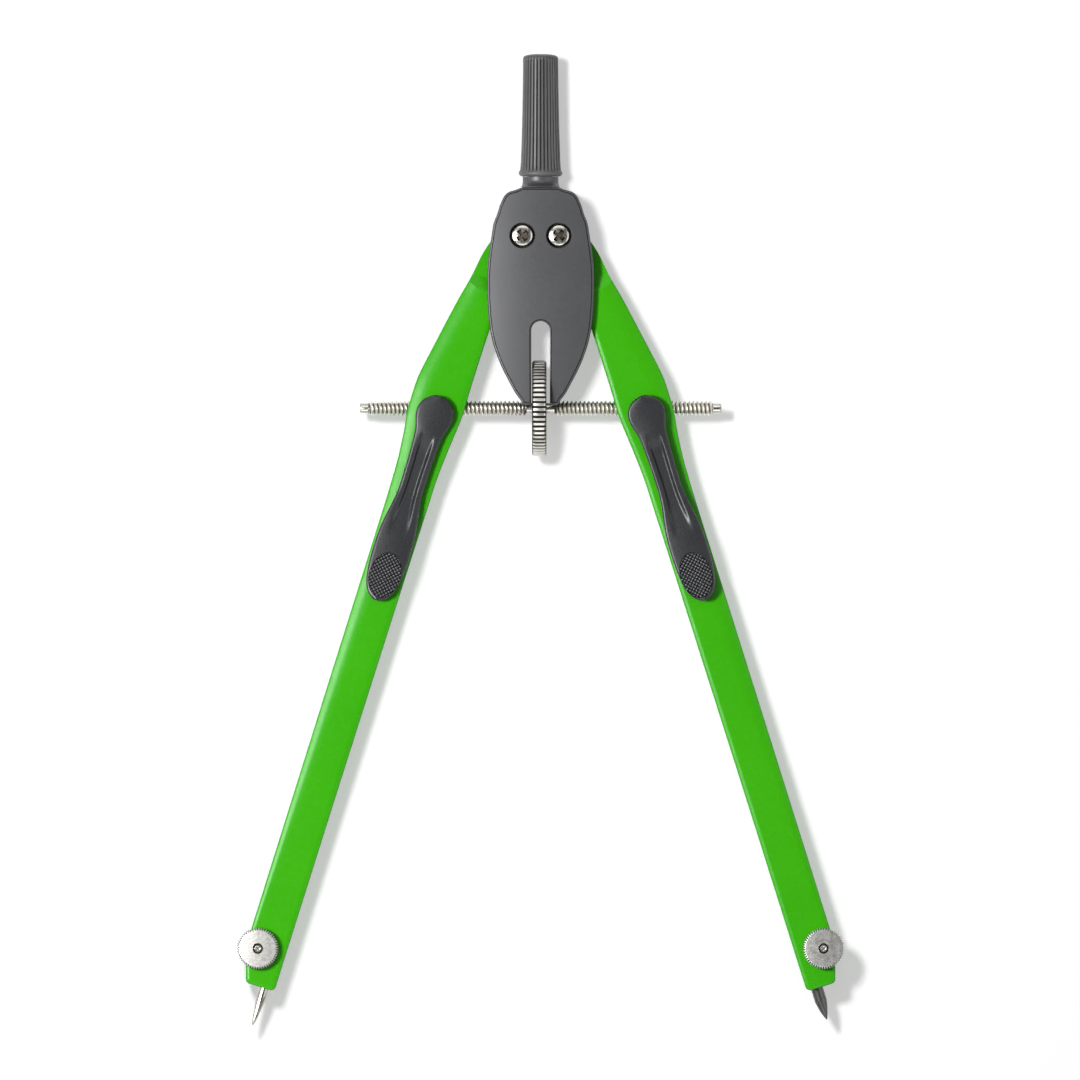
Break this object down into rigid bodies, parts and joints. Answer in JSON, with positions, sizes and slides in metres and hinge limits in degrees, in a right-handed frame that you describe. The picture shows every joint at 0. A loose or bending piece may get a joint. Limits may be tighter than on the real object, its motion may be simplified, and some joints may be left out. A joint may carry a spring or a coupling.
{
  "type": "drawing compass",
  "caption": "Bow compass with a threaded spindle and thumb wheel, quick-release levers, a needle point, a clamped lead and a fluted handle.",
  "frame": {"origin": "on the back face of the rear cover of the head, midway between the two leg pivots", "axes": "+X to the lead leg, +Y from the points to the handle, +Z out of the front cover"},
  "size_m": [0.1016, 0.1622, 0.016],
  "materials": {
    "green_paint": "bright green gloss lacquer on die-cast metal",
    "head_casting": "satin dark grey",
    "handle_plastic": "matt dark grey",
    "lever_plastic": "satin blue-grey",
    "nickel": "nickel-plated, turned",
    "steel": "plain steel",
    "brass": "plain brass",
    "graphite": "ground graphite lead"
  },
  "bodies": {
    "head": {"head_rear_cover": "head_casting", "head_front_cover": "head_casting", "handle_stem": "head_casting", "handle_grip": "handle_plastic", "left_pivot_screw": "nickel", "right_pivot_screw": "nickel", "left_pivot_sleeve": "brass", "right_pivot_sleeve": "brass"},
    "left_leg": {"left_leg": "green_paint", "left_lever_pin": "steel", "left_lever_spring": "steel", "left_clamp_stud": "nickel"},
    "right_leg": {"right_leg": "green_paint", "right_lever_pin": "steel", "right_lever_spring": "steel", "right_clamp_stud": "nickel"},
    "left_cradle": {"left_spindle_cradle": "brass"},
    "right_cradle": {"right_spindle_cradle": "brass"},
    "left_lever": {"left_release_lever": "lever_plastic"},
    "right_lever": {"right_release_lever": "lever_plastic"},
    "left_nut": {"left_half_nut": "brass"},
    "right_nut": {"right_half_nut": "brass"},
    "spindle": {"spindle": "nickel"},
    "wheel": {"thumb_wheel": "nickel"},
    "needle": {"needle_point": "steel"},
    "lead": {"lead": "graphite"},
    "left_knob": {"left_clamp_knob": "nickel"},
    "right_knob": {"right_clamp_knob": "nickel"}
  },
  "joints": [
    {"name": "wheel_turn", "type": "hinge", "parent": "spindle", "child": "wheel", "pos_m": [-0.00023, -0.02887, 0.0047], "axis": [1, 0, 0], "range_deg": [-4686, 3645]},
    {"name": "left_leg_open", "type": "hinge", "parent": "head", "child": "left_leg", "pos_m": [-0.00305, 0, 0.0047], "axis": [0, 0, -1], "range_deg": [-18, 14]},
    {"name": "right_leg_open", "type": "hinge", "parent": "head", "child": "right_leg", "pos_m": [0.00305, 0, 0.0047], "axis": [0, 0, 1], "range_deg": [-18, 14]},
    {"name": "left_cradle_turn", "type": "hinge", "parent": "left_leg", "child": "left_cradle", "pos_m": [-0.01754, -0.02887, 0.0047], "axis": [0, 0, 1], "range_deg": [-18, 14]},
    {"name": "left_nut_turn", "type": "hinge", "parent": "left_lever", "child": "left_nut", "pos_m": [-0.01754, -0.02887, 0.0047], "axis": [0, 0, 1], "range_deg": [-18, 14]},
    {"name": "right_cradle_turn", "type": "hinge", "parent": "right_leg", "child": "right_cradle", "pos_m": [0.01754, -0.02887, 0.0047], "axis": [0, 0, -1], "range_deg": [-18, 14]},
    {"name": "right_nut_turn", "type": "hinge", "parent": "right_lever", "child": "right_nut", "pos_m": [0.01754, -0.02887, 0.0047], "axis": [0, 0, -1], "range_deg": [-18, 14]},
    {"name": "spindle_slide", "type": "slide", "parent": "left_cradle", "child": "spindle", "axis": [1, 0, 0], "range_m": [-0.00911, 0.00709]},
    {"name": "left_lever_press", "type": "hinge", "parent": "left_leg", "child": "left_lever", "pos_m": [-0.02117, -0.04095, 0.0062], "axis": [0.9537, -0.3007, 0], "range_deg": [0, 3], "stiffness_Nm_per_rad": 0.5, "springref_deg": -2.86, "deforming": ["left_lever_spring"]},
    {"name": "left_knob_turn", "type": "hinge", "parent": "left_leg", "child": "left_knob", "pos_m": [-0.04725, -0.11907, 0.0047], "axis": [0, 0, 1], "range_deg": [0, 720]},
    {"name": "right_lever_press", "type": "hinge", "parent": "right_leg", "child": "right_lever", "pos_m": [0.02117, -0.04095, 0.0062], "axis": [0.9537, 0.3007, 0], "range_deg": [0, 3], "stiffness_Nm_per_rad": 0.5, "springref_deg": -2.86, "deforming": ["right_lever_spring"]},
    {"name": "right_knob_turn", "type": "hinge", "parent": "right_leg", "child": "right_knob", "pos_m": [0.04725, -0.11907, 0.0047], "axis": [0, 0, 1], "range_deg": [0, 720]},
    {"name": "needle_slide", "type": "slide", "parent": "left_leg", "child": "needle", "axis": [-0.3007, -0.9537, 0], "range_m": [0, 0.014]},
    {"name": "lead_slide", "type": "slide", "parent": "right_leg", "child": "lead", "axis": [0.3007, -0.9537, 0], "range_m": [0, 0.014]}
  ],
  "couplings": [
    {"joint": "wheel_turn", "follows": "left_leg_open", "ratio": 260.3},
    {"joint": "right_leg_open", "follows": "left_leg_open", "ratio": 1},
    {"joint": "left_cradle_turn", "follows": "left_leg_open", "ratio": 1},
    {"joint": "left_nut_turn", "follows": "left_leg_open", "ratio": 1},
    {"joint": "right_cradle_turn", "follows": "left_leg_open", "ratio": 1},
    {"joint": "right_nut_turn", "follows": "left_leg_open", "ratio": 1},
    {"joint": "spindle_slide", "follows": "left_leg_open", "m_per_rad": 0.029}
  ]
}
